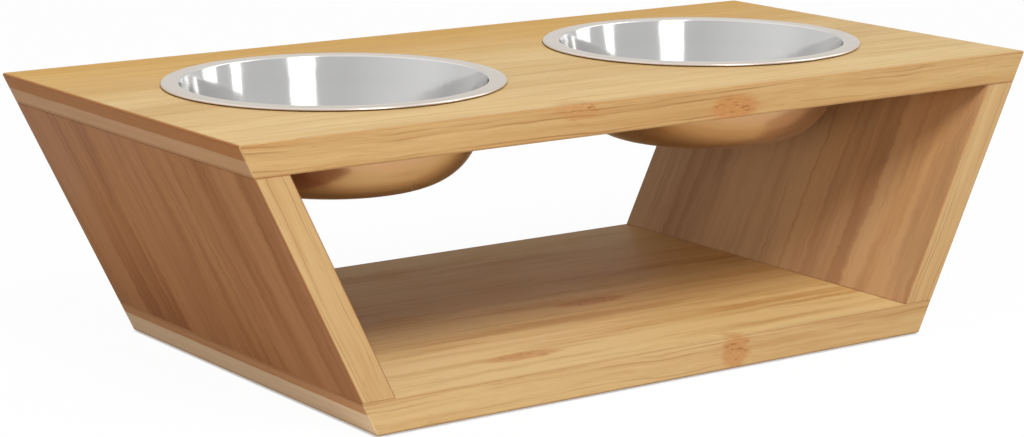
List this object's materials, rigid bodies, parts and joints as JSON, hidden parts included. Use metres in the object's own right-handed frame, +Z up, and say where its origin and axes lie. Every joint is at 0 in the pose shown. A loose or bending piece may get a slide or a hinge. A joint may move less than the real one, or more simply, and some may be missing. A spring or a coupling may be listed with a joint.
{
  "type": "elevated dog feeder with storage",
  "caption": "Low bamboo feeding stand with outward-leaning side panels, an open storage shelf and drop-in steel bowls that lift out of the top board.",
  "frame": {"origin": "under the middle of the stand, on the surface that its foot pads rest on", "axes": "+X along the stand's length, +Y from front to back, +Z up"},
  "size_m": [0.5986, 0.305, 0.1842],
  "materials": {
    "bamboo": "clear satin lacquer on laminated bamboo",
    "bowl_steel": "polished stainless steel",
    "beech": "raw beech",
    "screw_steel": "zinc-plated steel",
    "pad_rubber": "matt black rubber"
  },
  "bodies": {
    "stand": {"top_board": "bamboo", "base_board": "bamboo", "left_side_panel": "bamboo", "right_side_panel": "bamboo", "left_dowel_1": "beech", "left_dowel_2": "beech", "left_dowel_3": "beech", "right_dowel_1": "beech", "right_dowel_2": "beech", "right_dowel_3": "beech", "left_screw_1": "screw_steel", "left_screw_2": "screw_steel", "left_screw_3": "screw_steel", "right_screw_1": "screw_steel", "right_screw_2": "screw_steel", "right_screw_3": "screw_steel", "foot_pad_left_front": "pad_rubber", "foot_pad_left_back": "pad_rubber", "foot_pad_right_front": "pad_rubber", "foot_pad_right_back": "pad_rubber"},
    "left_bowl": {"left_bowl": "bowl_steel"},
    "right_bowl": {"right_bowl": "bowl_steel"}
  },
  "joints": [
    {"name": "left_bowl_lift", "type": "slide", "parent": "stand", "child": "left_bowl", "axis": [0, 0, 1], "range_m": [0, 0.09]},
    {"name": "right_bowl_lift", "type": "slide", "parent": "stand", "child": "right_bowl", "axis": [0, 0, 1], "range_m": [0, 0.09]}
  ]
}
